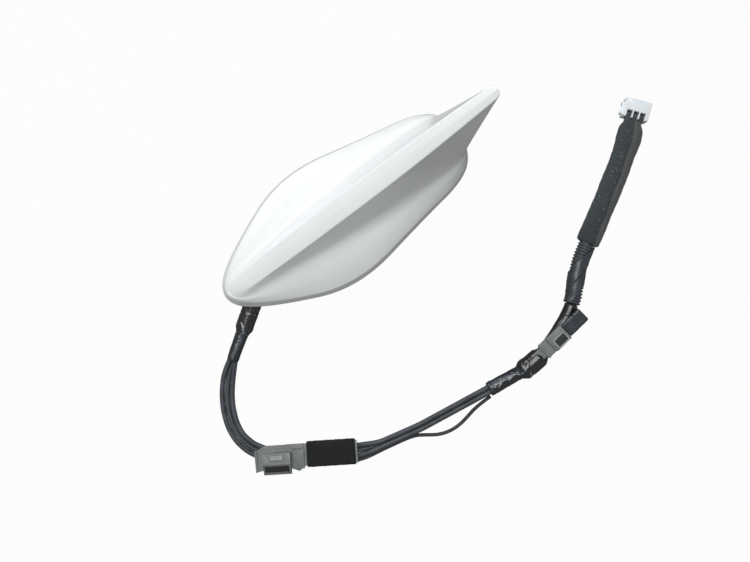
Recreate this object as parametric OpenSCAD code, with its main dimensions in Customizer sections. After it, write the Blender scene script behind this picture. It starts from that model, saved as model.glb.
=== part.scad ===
// Car roof antenna with a fin cover and a wiring lead.
// Units are millimetres. X runs from the nose to the tail, Z is up.
// The origin is on the axis of the roof bolt, in the plane where the gasket meets the roof.
// The lead lies on the surface that the boss stands on, below the roof plane.

/* [Cover] */
// Length of the cover's foot ahead of the bolt
cover_front = 70.4; // [64:0.2:80]
// Length of the cover's foot behind the bolt
cover_rear = 85; // [78:0.5:95]
// Width of the cover's foot, before its corners are rounded
cover_w = 69.5; // [64:0.5:76]
// Height of the crest at the nose
nose_h = 8; // [7:0.25:10]
// Height of the crest at the tip
tip_h = 63.5; // [56:0.5:72]
// Distance that the tip hangs out behind the foot
tip_overhang = 16; // [8:0.5:22]
// Width of the crest between its two edges
crest_w = 11.2; // [10:0.2:13]
// Height of the upright skirt round the foot
skirt_h = 5; // [4:0.25:6]
// Gap between the cover's rim and the roof
rim_gap = 0.8; // [0.4:0.1:1.1]
// Wall of the cover
cover_wall = 2.2; // [1.8:0.1:2.6]

/* [Base] */
// Thickness of the rubber gasket under the base plate
gasket_t = 1.2; // [1:0.1:1.6]
// Thickness of the cast base plate
plate_t = 3; // [2.4:0.1:3.6]
// Depth of the boss below the roof plane
boss_h = 13; // [12.5:0.1:15]
// Width of the boss
boss_w = 20; // [19:0.5:23]
// Length of the boss ahead of the bolt axis
boss_front = 19; // [18:0.5:22]
// Length of the boss behind the bolt axis
boss_rear = 9; // [8:0.5:12]
// Corner radius of the boss
boss_corner = 2; // [1:0.5:3]
// Radius of the tapped hole for the roof bolt
bolt_r = 2.5; // [2:0.25:3]
// Depth of the tapped hole
bolt_depth = 14; // [13:0.5:15]
// Thickness of the arms of the retaining clip
clip_t = 2; // [1.5:0.1:2.5]

/* [Electronics] */
// Length of the circuit board
board_l = 84; // [76:1:88]
// Width of the circuit board
board_w = 36; // [34:0.5:38]
// Thickness of the circuit board
board_t = 1.6; // [1:0.1:2]
// Side of the square ceramic patch
patch_w = 20; // [16:0.5:22]
// Thickness of the ceramic patch
patch_t = 4; // [3:0.5:4.5]
// Thickness of the upright board in the fin
fin_t = 1.2; // [0.8:0.1:1.6]
// Thickness of sheet metal parts
sheet_t = 0.5; // [0.3:0.05:0.7]
// Radius of the turns of the loading coil
coil_r = 2.5; // [2:0.25:3]
// Turns of the loading coil
coil_turns = 6; // [4:1:8]

/* [Lead] */
// Diameter of each coaxial lead
coax_d = 2.8; // [2.6:0.1:3]
// Diameter of the thin wire
wire_d = 2; // [1.8:0.1:2.1]
// Thickness of the wound tape
tape_t = 0.35; // [0.3:0.05:0.5]
// Outer diameter of the corrugated tube
tube_d = 9.2; // [9:0.1:9.6]
// Pitch of the ribs of the corrugated tube
rib_pitch = 1.8; // [1.4:0.1:2.4]
// Width of the foam sleeve
foam_w = 12.8; // [12.2:0.2:13.6]
// Height of the foam sleeve
foam_h = 9; // [8.4:0.2:10]

/* [Holders] */
// Length of the front holder's strip
clip_1_l = 57; // [54:0.5:60]
// Width of the front holder's strip
clip_1_w = 13.2; // [12.4:0.2:14.4]
// Length of the rear holder's strip
clip_2_l = 30.4; // [28:0.4:31.6]
// Width of the rear holder's strip
clip_2_w = 9.2; // [8.6:0.2:10]
// Thickness of both holders' strips
strip_t = 1.6; // [1.2:0.1:2]

/* [Plug] */
// Width of the white plug
plug_w = 14.4; // [13.6:0.2:16]
// Length of the white plug
plug_l = 10.5; // [10.5:0.25:12.5]
// Height of the white plug
plug_h = 8; // [7.5:0.25:9]
// Wall of the white plug
plug_wall = 1; // [0.8:0.1:1.2]

/* [Hidden] */
$fn = 48;
eps = 0.01;
floor_z = -boss_h;

// Curves: a control polygon whose corners are rounded, each corner by half of its two legs
function mid(a, b) = (a + b) / 2;
function corner(a, b, c, s) = (1 - s) * (1 - s) * a + 2 * s * (1 - s) * b + s * s * c;
function rounded(P, steps) = let (last = len(P) - 1) concat(
    [for (i = [1 : last - 1], k = [0 : steps - 1])
        corner(i == 1 ? P[0] : mid(P[i - 1], P[i]), P[i],
               i == last - 1 ? P[last] : mid(P[i], P[i + 1]), k / steps)],
    [P[last]]);
function lerp(a, b, s) = a + (b - a) * s;

// The cover's three main rails, each from the nose round to the tail, at eight stations
half_w = cover_w / 2;
tip_x = cover_rear + tip_overhang;
crest_half = crest_w / 2;
root_h = 18;
function crest_z(x) = lerp(nose_h, tip_h, (x + cover_front) / (tip_x + cover_front));
rim_x = [-cover_front, -cover_front, -0.68 * cover_front, -0.12 * cover_front,
    0.49 * cover_rear, 0.87 * cover_rear, cover_rear, cover_rear];
rim_y = half_w * [0, 0.12, 0.62, 1.09, 0.79, 0.64, 0.25, 0];
root_x = [for (i = [0 : 7]) rim_x[i] + [1.4, 1.4, 1.6, 2, 2, 2.4, 0.4, 0.4][i]];
root_y = crest_half * [0, 0.4, 1.42, 1.52, 2.3, 2.5, 1.3, 0];
root_z = root_h * [0.36, 0.36, 0.75, 1.03, 0.98, 0.75, 0.68, 0.68];
edge_x = [-cover_front + 4, -cover_front + 4, rim_x[2] + 4, rim_x[3] + 5, rim_x[4] + 7,
    tip_x - 16, tip_x, tip_x];
edge_y = crest_half * [0, 0.5, 0.92, 1.02, 1, 0.68, 0.52, 0];
function rim_rail(z, in) = [for (i = [0 : 7])
    [rim_x[i] + (i < 2 ? in : i > 5 ? -in : 0), max(rim_y[i] - in, 0), z]];
root_rail = [for (i = [0 : 7]) [root_x[i], root_y[i], root_z[i]]];
edge_rail = [for (i = [0 : 7]) [edge_x[i], edge_y[i], crest_z(edge_x[i]) - 0.4]];
// The dome lies between rim and root, and bulges a little
function dome_rail(s, bulge) = [for (i = [0 : 7])
    lerp([rim_x[i], rim_y[i], skirt_h], root_rail[i], s) + [0, 0, bulge]];
// The flank lies between root and crest edge, and is hollow, at the tail too
function flank_rail(s, s_x, s_y) = [for (i = [0 : 7])
    [lerp(root_rail[i].x, edge_rail[i].x, i > 4 ? s_x : s),
     lerp(root_rail[i].y, edge_rail[i].y, s_y), lerp(root_rail[i].z, edge_rail[i].z, s)]];
function moved(rail, dy, dz) = [for (p = rail) [p.x, max(p.y + (p.y > 0 ? dy : 0), 0), p.z + dz]];
outer_net = [rim_rail(rim_gap, 0), rim_rail(skirt_h * 0.6, 0), rim_rail(skirt_h, 0.7),
    dome_rail(0.18, 1.1), dome_rail(0.5, 1.6), root_rail, flank_rail(0.3, 0.14, 0.62),
    flank_rail(0.65, 0.45, 0.86), moved(edge_rail, 0.15, -1.6), edge_rail,
    moved(edge_rail, -crest_half * 0.45, 0.4), [for (p = edge_rail) [p.x, 0, p.z + 0.5]]];
// The inner net is the outer one, drawn in by the wall
function drawn_in(net, w) = [for (k = [0 : len(net) - 1]) [for (i = [0 : 7]) let (p = net[k][i])
    [p.x + (i < 2 ? w : i > 5 ? -w : 0),
     i == 0 || i == 7 ? 0 : k == len(net) - 1 ? 0
        : max(p.y - w * (k < 3 || k > 5 ? 1 : 0.7), 0.3 + 0.05 * (len(net) - k)),
     k < 2 ? p.z : p.z - w * (k < 6 ? 1 : k < 8 ? 0.6 : 1.15)]]];

rail_steps = 5;
rise_steps = 2;
// Rounded along each rail, and then across the rails
function skin(net) = let (along = [for (r = net) rounded(r, rail_steps)])
    let (cols = [for (i = [0 : len(along[0]) - 1]) rounded([for (r = along) r[i]], rise_steps)])
    [for (k = [0 : len(cols[0]) - 1]) [for (c = cols) c[k]]];

// A closed solid from the near half of a skin and its mirror, with a flat foot
module skin_solid(net) {
    rows = skin(net);
    top = len(rows) - 1;
    last = len(rows[0]) - 1;
    loop = 2 * last;
    ring = [for (k = [0 : top - 1]) each concat(
        [for (i = [0 : last]) [rows[k][i].x, -rows[k][i].y, rows[k][i].z]],
        [for (i = [last - 1 : -1 : 1]) rows[k][i]])];
    crest = [for (p = rows[top]) [p.x, 0, p.z]];
    function at(k, j) = let (i = (j + loop) % loop)
        k < top ? k * loop + i : top * loop + (i <= last ? i : loop - i);
    sides = [for (k = [0 : top - 1], j = [0 : loop - 1]) each
        [[at(k, j), at(k + 1, j), at(k, j + 1)],
         [at(k, j + 1), at(k + 1, j), at(k + 1, j + 1)]]];
    foot = [for (j = [0 : loop - 1]) j];
    polyhedron(concat(ring, crest), concat(sides, [foot]));
}

// The foot's outline in plan, drawn in by a distance
function foot_half(in) = rounded([for (p = rim_rail(0, in)) [p.x, p.y]], rail_steps);
module foot_outline(in) {
    half = foot_half(in);
    last = len(half) - 1;
    polygon(concat([for (p = half) [p.x, -p.y]], [for (i = [last - 1 : -1 : 1]) half[i]]));
}

// Heights of the stack above the roof plane
plate_z = gasket_t;
plate_top = plate_z + plate_t;
board_z = plate_top + 2.2;
board_top = board_z + board_t;
board_front = 34;
board_x = -board_front;
seat_in = cover_wall + 0.4;
plate_step = 1.5;
step_in = seat_in + 5;

// Places that the screws share
cover_screw_r = 1.3;
cover_post_r = 3;
nose_screw_in = 17;
tail_screw_in = 11;
tail_screw_y = 8;
side_screw = [-11, 26.5];
cover_screws_at = [[-cover_front + nose_screw_in, 0], side_screw, [side_screw.x, -side_screw.y],
    [cover_rear - tail_screw_in, tail_screw_y], [cover_rear - tail_screw_in, -tail_screw_y]];
board_screw_r = 1.2;
board_posts_at = [for (sx = [3.5, board_l - 3.5], sy = [-1, 1])
    [board_x + sx, sy * (board_w / 2 - 3.5)]];

module cover() color("white") {
    difference() {
        skin_solid(outer_net);
        difference() {
            translate([0, 0, -eps]) skin_solid(drawn_in(outer_net, cover_wall));
            for (p = cover_screws_at) translate([p.x, p.y, plate_top])
                cylinder(r = cover_post_r, h = tip_h);
        }
        for (p = cover_screws_at) translate([p.x, p.y, plate_top - eps])
            cylinder(r = cover_screw_r, h = 3.6);
    }
}

// A rectangle with round corners in plan, ahead of and behind the bolt axis
module boss_plan(front, rear, w, r) hull() for (x = [-front + r, rear - r], y = [-1, 1] * (w / 2 - r))
    translate([x, y]) circle(r);

// The three leads lie in a triangle, and the bundle fills a circle
lead_gap = 0.2;
side = coax_d + lead_gap;
bundle_r = side / sqrt(3) + coax_d / 2;
sleeve_r = bundle_r + 0.22;
wrap_r = sleeve_r + tape_t;
exit_z = floor_z + 5.3;
boss_wall = 2;
pocket_w = boss_w - 5;
pillar_r = bolt_r + 3.2;
pocket_front = -boss_front + boss_wall;
pocket_floor = floor_z + 1;
grommet_neck = sleeve_r + 0.7;

module base_plate() color("silver") difference() {
    union() {
        translate([0, 0, plate_z]) linear_extrude(plate_step) foot_outline(seat_in);
        translate([0, 0, plate_z + plate_step / 2]) linear_extrude(plate_t - plate_step / 2)
            foot_outline(step_in);
        translate([0, 0, floor_z]) linear_extrude(boss_h + plate_z + plate_step / 3)
            boss_plan(boss_front, boss_rear, boss_w, boss_corner);
        for (p = board_posts_at) translate([p.x, p.y, plate_top - eps])
            cylinder(r = 3, h = board_z - plate_top + eps);
    }
    translate([pocket_front, -pocket_w / 2, pocket_floor])
        cube([-pillar_r - pocket_front, pocket_w, plate_top - pocket_floor + 1]);
    translate([-boss_front - 1, 0, exit_z]) rotate([0, 90, 0])
        cylinder(r = grommet_neck, h = boss_wall + 2);
    translate([0, 0, floor_z - 1]) cylinder(r = bolt_r, h = bolt_depth + 1);
    for (p = board_posts_at) translate([p.x, p.y, plate_z + 1]) cylinder(r = board_screw_r, h = 9);
    for (p = cover_screws_at) translate([p.x, p.y, plate_z - 1]) {
        cylinder(r = cover_screw_r + 0.1, h = plate_t + 2);
        cylinder(r = screw_head_r + 0.1, h = screw_head_h + 1.05);
    }
}
screw_head_r = 2.4;
screw_head_h = 1.2;

module gasket() color("dimgray") linear_extrude(gasket_t) difference() {
    foot_outline(seat_in + 0.4);
    boss_plan(boss_front + 0.3, boss_rear + 0.3, boss_w + 0.6, boss_corner);
}

// A sprung collar pushed on from behind the boss, with a barb on each arm
clip_z = floor_z + 1;
clip_top = -2.4;
module retaining_clip() color("black") {
    inner = boss_w / 2;
    difference() {
        translate([-boss_front + 7, -inner - clip_t, clip_z])
            cube([boss_front - 7 + boss_rear + clip_t, boss_w + 2 * clip_t, clip_top - clip_z]);
        translate([-boss_front, -inner, clip_z - 1])
            cube([boss_front + boss_rear, boss_w, clip_top - clip_z + 2]);
    }
    for (m = [0, 1]) mirror([0, m, 0]) translate([-6, inner + clip_t - eps, 0]) rotate([90, 0, 90])
        linear_extrude(8) polygon([[0, clip_z + 0.5], [2.2, -4.5], [0, -3]]);
}

module cover_screws() color("silver") for (p = cover_screws_at) translate([p.x, p.y, plate_z]) {
    cylinder(r = screw_head_r, h = screw_head_h);
    cylinder(r = cover_screw_r - 0.05, h = plate_t + 3.4);
}

// The pins of the plug in the boss, and the bent strip at the board's front; the patch lies between
pin_w = 0.8;
pins_at = [-4, 0, 4];
plug_face = -pillar_r - 3.3;
pin_x = plug_face + 1.5;
strip_x = board_x + 1.2;
strip_foot = 4;
strip_w = 12;
strip_h = 3.4;
patch_x = (strip_x + strip_foot + pin_x - pin_w / 2) / 2;
module main_board() color("green") difference() {
    translate([board_x, -board_w / 2, board_z]) cube([board_l, board_w, board_t]);
    for (p = board_posts_at) translate([p.x, p.y, board_z - 1]) cylinder(r = board_screw_r + 0.1, h = 4);
    for (y = pins_at) translate([pin_x - pin_w / 2 - 0.05, y - pin_w / 2 - 0.05, board_z - 1])
        cube([pin_w + 0.1, pin_w + 0.1, 4]);
    translate([patch_x, 0, board_z - 1]) cylinder(r = feed_r + 0.1, h = 4);
}

board_head_r = 2;
board_head_h = 1.1;
board_screw_l = 3;
module board_screws() color("silver") for (p = board_posts_at) translate([p.x, p.y, 0]) {
    translate([0, 0, board_top]) cylinder(r = board_head_r, h = board_head_h);
    translate([0, 0, board_z - board_screw_l])
        cylinder(r = board_screw_r - 0.05, h = board_t + board_screw_l + 0.1);
}

can_l = 20;
can_w = 11;
can_h = 2.6;
can_y = 3;
fin_x = 16;
module shield_can() color("lightgray") translate([fin_x + 6, can_y, board_top]) difference() {
    cube([can_l, can_w, can_h]);
    translate([sheet_t, sheet_t, -1]) cube([can_l - 2 * sheet_t, can_w - 2 * sheet_t, can_h + 1 - sheet_t]);
}

feed_r = 0.5;
module gps_patch() color("tan") translate([patch_x, 0, board_top]) difference() {
    translate([-patch_w / 2, -patch_w / 2, 0]) cube([patch_w, patch_w, patch_t]);
    translate([0, 0, -1]) cylinder(r = feed_r + 0.05, h = patch_t + 2);
}
module gps_feed_pin() color("gold") translate([patch_x, 0, 0]) {
    translate([0, 0, board_z - 0.6]) cylinder(r = feed_r, h = board_t + patch_t + 0.6);
    translate([0, 0, board_top + patch_t]) cylinder(r = 1.1, h = 0.4);
}

// The upright board follows the crest a little way below it
fin_drop = 11;
slope = atan((tip_h - nose_h) / (tip_x + cover_front));
fin_clear = 27;
fin_rear = tip_x - fin_clear;
fin_tail = 14;
fin_step = [6, 10];
module fin_board() color("green") translate([0, fin_t / 2, 0]) rotate([90, 0, 0])
    linear_extrude(fin_t) polygon([[fin_x, board_top], [fin_x, crest_z(fin_x) - fin_drop],
        [fin_rear, crest_z(fin_rear) - fin_drop], [fin_rear, crest_z(fin_rear) - fin_drop - fin_tail],
        [board_x + board_l - fin_step.x, board_top + fin_step.y],
        [board_x + board_l - fin_step.x, board_top]]);
cap_h = 7;
module top_plate() color("silver") translate([fin_x, 0, crest_z(fin_x) - fin_drop]) rotate([0, -slope, 0])
    difference() {
        long = (fin_rear - fin_x) / cos(slope) - 3;
        out = fin_t / 2 + 0.1 + sheet_t;
        translate([1, -out, -cap_h]) cube([long, 2 * out, cap_h + 0.1 + sheet_t]);
        translate([0, -out + sheet_t, -cap_h - 1]) cube([long + 2, 2 * (out - sheet_t), cap_h + 1.1]);
    }

// A tube along a path, and a sleeve along a path; each ring stands square to the path
function unit(v) = v / norm(v);
function along(P, i) = unit(P[min(i + 1, len(P) - 1)] - P[max(i - 1, 0)]);
function across(P, i) = let (t = along(P, i)) unit([t.y, -t.x, 0]);
function ring(P, i, r, n, wide) = let (t = along(P, i), a = across(P, i), b = cross(a, t))
    [for (k = [0 : n - 1]) let (turn = (k + 0.5) * 360 / n)
        P[i] + r * (wide * a * cos(turn) - b * sin(turn))];
function sides(count, n, base, flip) = [for (i = [0 : count - 2], k = [0 : n - 1])
    let (a = base + i * n + k, b = base + i * n + (k + 1) % n)
    each flip ? [[a, a + n, b], [b, a + n, b + n]] : [[a, b, a + n], [b, b + n, a + n]]];
module tube(P, r, n) {
    m = len(P);
    polyhedron([for (i = [0 : m - 1]) each ring(P, i, r, n, 1)], concat(sides(m, n, 0, true),
        [[for (k = [0 : n - 1]) k], [for (k = [n - 1 : -1 : 0]) (m - 1) * n + k]]));
}
// Each ring of a sleeve, outer or inner, has a half height, a ratio of width to height, and a lift
module sleeve(P, outer, inner, n) {
    m = len(P);
    all = m * n;
    ends = [for (k = [0 : n - 1]) let (j = (k + 1) % n, a = (m - 1) * n)
        each [[k, j, all + j], [k, all + j, all + k],
              [a + k, all + a + j, a + j], [a + k, all + a + k, all + a + j]]];
    polyhedron([for (shape = [outer, inner], i = [0 : m - 1]) each
            [for (q = ring(P, i, shape[i][0], n, shape[i][1])) q + [0, 0, shape[i][2]]]],
        concat(sides(m, n, 0, true), sides(m, n, all, false), ends));
}
function plain(from, to) = [for (i = [from : to]) [sleeve_r, 1, 0]];

coil_wire = 0.4;
coil_pitch = 1.3;
coil_x = 7;
module loading_coil() color("orange") tube([for (a = [0 : 30 : 360 * coil_turns])
    [coil_x + coil_r * cos(a), coil_r * sin(a), board_top + coil_wire + 0.02 + coil_pitch * a / 360]],
    coil_wire, 6);

module front_radiator() color("silver") translate([strip_x, strip_w / 2, board_top]) rotate([90, 0, 0])
    linear_extrude(strip_w) polygon([[0, 0], [strip_foot, 0], [strip_foot, sheet_t],
        [sheet_t, sheet_t], [sheet_t, strip_h], [0, strip_h]]);

// The small plug in the boss that the leads end in
module inner_plug() color("black") difference() {
    translate([plug_face, -6, pocket_floor]) cube([3, 12, board_z - pocket_floor]);
    for (y = pins_at) translate([pin_x - pin_w / 2, y - pin_w / 2, board_z - 4]) cube([pin_w, pin_w, 5]);
}
module inner_pins() color("gold") for (y = pins_at)
    translate([pin_x - pin_w / 2, y - pin_w / 2, board_z - 4]) cube([pin_w, pin_w, 4 + board_t + 0.6]);

// Heights at which the wraps, the tube, the tape wound on it and the foam rest on the surface
wrap_z = wrap_r * cos(15) + 0.2;
tape_low = tube_d / 2 + 0.18;
band_t = 0.35;
tube_z = tube_d / 2 * cos(15) + 0.01;
wound_z = tape_low + band_t + 0.02;
foam_z = foam_h / 2 * cos(15) + 0.05;
row_gap = 0.7;

// The lead's route: x, y, height of its middle above the surface, spread, and the gaps
// before the first and before the third lead. Spread 0 is a triangle, spread 1 is side by side
route = [[-9, 0, 5.3, 0, 0, 0], [-28, 0, 5.3, 0, 0, 0], [-31, 0, 5.3, 0, 0, 0],
    [-45, -2.6, 4.5, 0, 0, 0], [-56, -7.4, wrap_z, 0, 0, 0], [-62.7, -11.4, wrap_z, 0, 0, 0],
    [-73.4, -19, wrap_z, 0, 0, 0], [-76, -20.8, wrap_z, 0, 0, 0], [-82, -24.8, wrap_z, 0, 0, 0],
    [-89.1, -30, wrap_z, 0, 0, 0], [-95.9, -35.5, 2.6, 0.6, 0, 0], [-101.9, -42.3, 1.6, 1, 0.1, 0],
    [-106.3, -49.5, 1.6, 1, 0.3, 0], [-109.6, -58.1, 1.9, 0.8, 0.1, 0],
    [-110.6, -66.7, 2.15, 0.6, 0, 0], [-108.6, -75.5, 1.7, 0.88, 0, 0],
    [-102.9, -84, 1.7, 0.88, 0, 0], [-95, -90.2, 1.9, 1, 0, 0], [-85.3, -95.7, 1.95, 1, 0, 0],
    [-61.9, -110.1, 1.95, 1, 0, 0], [-56.5, -112.4, 2.5, 0.5, 0, 0], [-50, -114.5, 3.2, 0, 0, 0],
    [-25, -119.6, 3.2, 0, 0, 0], [17.5, -124.6, wrap_z, 0, 0, 0], [36.6, -126.6, wrap_z, 0, 0, 0],
    [39.3, -126.9, wrap_z, 0, 0, 0], [50.5, -126.2, wrap_z, 0, 0, 0], [54, -125.3, wrap_z, 0, 0, 0],
    [64, -121.9, wrap_z, 0, 0, 0], [74, -117.6, wrap_z, 0, 0, 0], [79, -114.9, tube_z, 0, 0, 0],
    [82.4, -112.4, tube_z, 0, 0, 0], [85.8, -109.9, tube_z, 0, 0, 0], [89, -106.4, wound_z, 0, 0, 0],
    [92.6, -102.2, wound_z, 0, 0, 0], [98.6, -96.4, wound_z, 0, 0, 0], [104, -92.8, wound_z, 0, 0, 0],
    [108.1, -90.4, wound_z, 0, 0, 0], [112.2, -88, wound_z, 0, 0, 0], [120, -83.3, foam_z, 0, 0, 0],
    [125.9, -79.8, foam_z, 0, 0, 0], [141.5, -70, foam_z, 0, 0, 0], [156.2, -60.1, foam_z, 0, 0, 0],
    [161, -56.4, foam_z, 0.5, row_gap / 2, row_gap / 2],
    [165.2, -52.78, 4.4, 1, row_gap, row_gap], [168.28, -50.24, 4.4, 1, row_gap, row_gap],
    [172.84, -46.48, 4.4, 1, row_gap, row_gap]];
wide_start = 5;
wide_end = 6;
wrap_1_end = 9;
pad_at = 18;
wrap_2_start = 23;
thick_start = 25;
thick_end = 26;
tube_start = 31;
foam_start = 37;
foam_end = 45;
centre = [for (p = route) [p.x, p.y, floor_z + p[2]]];
// Sideways and upward offsets of the leads; in a triangle the middle lead is the lowest
function drop(i) = side * sqrt(3) / 2 * (1 - route[i][3]);
function spreading(i) = sqrt(side * side - drop(i) * drop(i));
function lead_path(hand) = [for (i = [0 : len(route) - 1])
    centre[i] + hand * (spreading(i) + route[i][hand < 0 ? 4 : 5]) * across(centre, i)
    + [0, 0, hand == 0 ? -drop(i) * 2 / 3 : drop(i) / 3]];
function stretch(from, to) = [for (i = [from : to]) centre[i]];
// Points at an even step along a path
function so_far(P, n) = n == 0 ? 0 : so_far(P, n - 1) + norm(P[n] - P[n - 1]);
function walk(P, step) = let (far = [for (i = [0 : len(P) - 1]) so_far(P, i)])
    let (count = floor(far[len(P) - 1] / step)) [for (j = [0 : count])
        let (d = j * far[len(P) - 1] / count)
        let (i = max([for (k = [0 : len(P) - 2]) far[k] <= d + eps ? k : 0]))
        lerp(P[i], P[i + 1], (d - far[i]) / (far[i + 1] - far[i]))];

module cable_grommet() color("black") {
    reach = -route[1].x - boss_front;
    translate([-boss_front, 0, exit_z]) rotate([0, -90, 0]) rotate_extrude() polygon([
        [sleeve_r, -boss_wall], [grommet_neck, -boss_wall], [grommet_neck, 0],
        [grommet_neck + 0.8, 0], [grommet_neck + 0.8, 1.5], [grommet_neck + 0.2, 2],
        [sleeve_r + tape_t, reach], [sleeve_r, reach]]);
}
module coax_1() color("dimgray") tube(lead_path(-1), coax_d / 2, 8);
module coax_2() color("dimgray") tube(lead_path(0), coax_d / 2, 8);
module coax_3() color("dimgray") tube(lead_path(1), coax_d / 2, 8);

// The thin wire leaves the tape pad beside the bundle, bows out and ends at the next wrap
wire_route = [[-65.18, -114.54, 1.5], [-58.8, -116.85, 1.3], [-51.8, -117.7, 1.2], [-37.1, -120.4, 1.2],
    [-30, -122, 1.2], [-25.4, -125.2, 1.2], [-20, -129.2, 1.2], [-13.3, -131.5, 1.2],
    [-6.6, -131.7, 1.2], [-1, -130.6, 1.2], [4, -129.2, 1.2], [10, -128.6, 1.8], [16.8, -128.4, 2.6]];
module thin_wire() color("black") tube([for (p = wire_route) [p.x, p.y, floor_z + p.z]], wire_d / 2, 8);

thick_h = 4.95;
thick_lift = thick_h * cos(15) - wrap_z + 0.02;
function wrap(from, to) = [for (i = [from : to])
    i >= thick_start && i <= thick_end ? [thick_h, 1.12, thick_lift]
    : i >= wide_start && i <= wide_end ? [wrap_r, 1.28, 0]
    : i == wrap_2_start ? [wrap_r, 1.2, 0] : [wrap_r, 1, 0]];
module tape_wrap_front() color("black")
    sleeve(stretch(1, wrap_1_end), wrap(1, wrap_1_end), plain(1, wrap_1_end), 12);
module tape_wrap_middle() color("black") difference() {
    sleeve(stretch(wrap_2_start, tube_start), wrap(wrap_2_start, tube_start),
        plain(wrap_2_start, tube_start), 12);
    heading(clip_2_at, clip_2_dir, wrap_top) {
        slab([-tongue_out - fit_gap, 1], [-1, 1] * (tongue_w / 2 + fit_gap), [-fit_gap, strip_t + fit_gap]);
        slab([-fit_gap, 5], [-1, 1] * (clip_2_w / 2 + 1), [-fit_gap, clip_2_h]);
    }
}

fit_gap = 0.04;
// Places a child's X axis along a direction in plan
module heading(at, dir, lift) translate([at.x, at.y, floor_z + lift]) rotate([0, 0, atan2(dir.y, dir.x)])
    children();
module slab(x, y, z) translate([x[0], y[0], z[0]]) cube([x[1] - x[0], y[1] - y[0], z[1] - z[0]]);

// The front holder: a strip over the leads, two wings and a slanted socket on top
pad_dir = centre[pad_at + 1] - centre[pad_at];
pad_l = norm(pad_dir);
flat_top = route[pad_at][2] + coax_d / 2 + 0.1;
strip_top = flat_top + strip_t;
socket_l = 15.4;
socket_h = 5.4;
socket_at = -23.8;
socket_deep = 2.2;
slant = 42;
module clip_1() color("gray") heading(centre[pad_at], pad_dir, 0) difference() {
    tail = pad_l + 0.8;
    head = tail - clip_1_l;
    union() {
        slab([head + 1, tail], [-1, 1] * (clip_1_w / 2 - 0.5), [flat_top, strip_top]);
        translate([0, 0, flat_top]) linear_extrude(strip_t) {
            polygon([[head, 8.3], [head + 0.6, -8.3], [head + 6, -7], [head + 7, 7.3]]);
            polygon([[-11, 7.5], [-1, 7.5], [-1, -6.5], [-4, -8.6], [-11, -6]]);
        }
        translate([socket_at, 0, 0]) rotate([90, 0, 90]) linear_extrude(socket_l)
            polygon([[2.6, flat_top], [2.6, strip_top + socket_h], [-3.4, strip_top + socket_h],
                [-10, strip_top + socket_h - 6.6 * tan(slant)], [-8.5, flat_top]]);
    }
    translate([socket_at + socket_l / 2, -6.7, strip_top + socket_h - 3.3 * tan(slant)])
        rotate([slant, 0, 0]) slab([-6.6, 6.6], [-2.9, 2.9], [-socket_deep, 2]);
    translate([socket_at + socket_l / 2, 0, strip_top + socket_h]) slab([-3.6, 3.6], [-2, 1.6], [-0.8, 1]);
}
pad_gap = 0.15;
pad_half = clip_1_w / 2;
module tape_pad_front() color("black") heading(centre[pad_at], pad_dir, 0) rotate([90, 0, 90])
    linear_extrude(pad_l) difference() {
        soft_rect(pad_half + tape_t, 0, strip_top + pad_gap + tape_t, 1.4);
        translate([-pad_half, tape_t]) square([2 * pad_half, strip_top + pad_gap - tape_t]);
    }
module soft_rect(half, low, high, r) hull() for (x = [-half + r, half - r], y = [low + r, high - r])
    translate([x, y]) circle(r);

// The rear holder lies on the wrapped bundle, with a tongue at each end under tape
clip_2_at = [53.75, -124.6];
clip_2_dir = [cos(9), sin(9)];
clip_2_body = 16.5;
wrap_top = wrap_z + wrap_r + 0.05;
clip_2_h = 4.2;
tongue_w = 6;
tongue_out = 6;
module clip_2() color("gray") heading(clip_2_at, clip_2_dir, wrap_top) difference() {
    union() {
        slab([0, clip_2_body], [-clip_2_w / 2, clip_2_w / 2], [0, strip_t]);
        slab([5.5, clip_2_body], [-clip_2_w / 2, clip_2_w / 2], [0, clip_2_h]);
        slab([-tongue_out, clip_2_l], [-tongue_w / 2, tongue_w / 2], [0, strip_t]);
        slab([0, 1.2], [-clip_2_w / 2, clip_2_w / 2], [0, clip_2_h - 1]);
    }
    slab([8.1, 14.7], [-3.7, 0.6], [strip_t - 0.6, clip_2_h + 1]);
}
module tape_pad_rear() color("black") heading(clip_2_at, clip_2_dir, wrap_top)
    translate([clip_2_body + 0.2, 0, 0]) rotate([90, 0, 90])
    linear_extrude(clip_2_l - clip_2_body - 0.4) difference() {
        soft_rect(clip_2_w / 2 - 0.45, 0, 3.8, 1.2);
        translate([-tongue_w / 2 - pad_gap, -0.1]) square([tongue_w + 2 * pad_gap, strip_t + 0.2]);
    }

// The corrugated tube, and the tape wound on it in one slow turn
tube_walk = walk(stretch(tube_start, foam_start), rib_pitch / 2);
rib_h = 0.45;
module corrugated_tube() color("dimgray") sleeve(tube_walk,
    [for (i = [0 : len(tube_walk) - 1]) [tube_d / 2 - (i % 2 == 0 ? 0 : rib_h), 1, 0]],
    plain(1, len(tube_walk)), 12);
tape_band = 9;
function wound(i, turn, r) = let (t = along(tube_walk, i), a = across(tube_walk, i))
    tube_walk[i] + r * (a * cos(turn) + cross(a, t) * sin(turn));
module tube_tape() color("black") {
    m = len(tube_walk) - tape_band - 2;
    polyhedron([for (i = [0 : m - 1]) each let (turn = 90 + 9 * (m / 2 - i))
        [wound(i, turn, tape_low), wound(i, turn, tape_low + band_t),
         wound(i + tape_band, turn, tape_low + band_t), wound(i + tape_band, turn, tape_low)]],
        concat(sides(m, 4, 0, false), [[3, 2, 1, 0], [for (k = [0 : 3]) (m - 1) * 4 + k]]));
}
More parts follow.
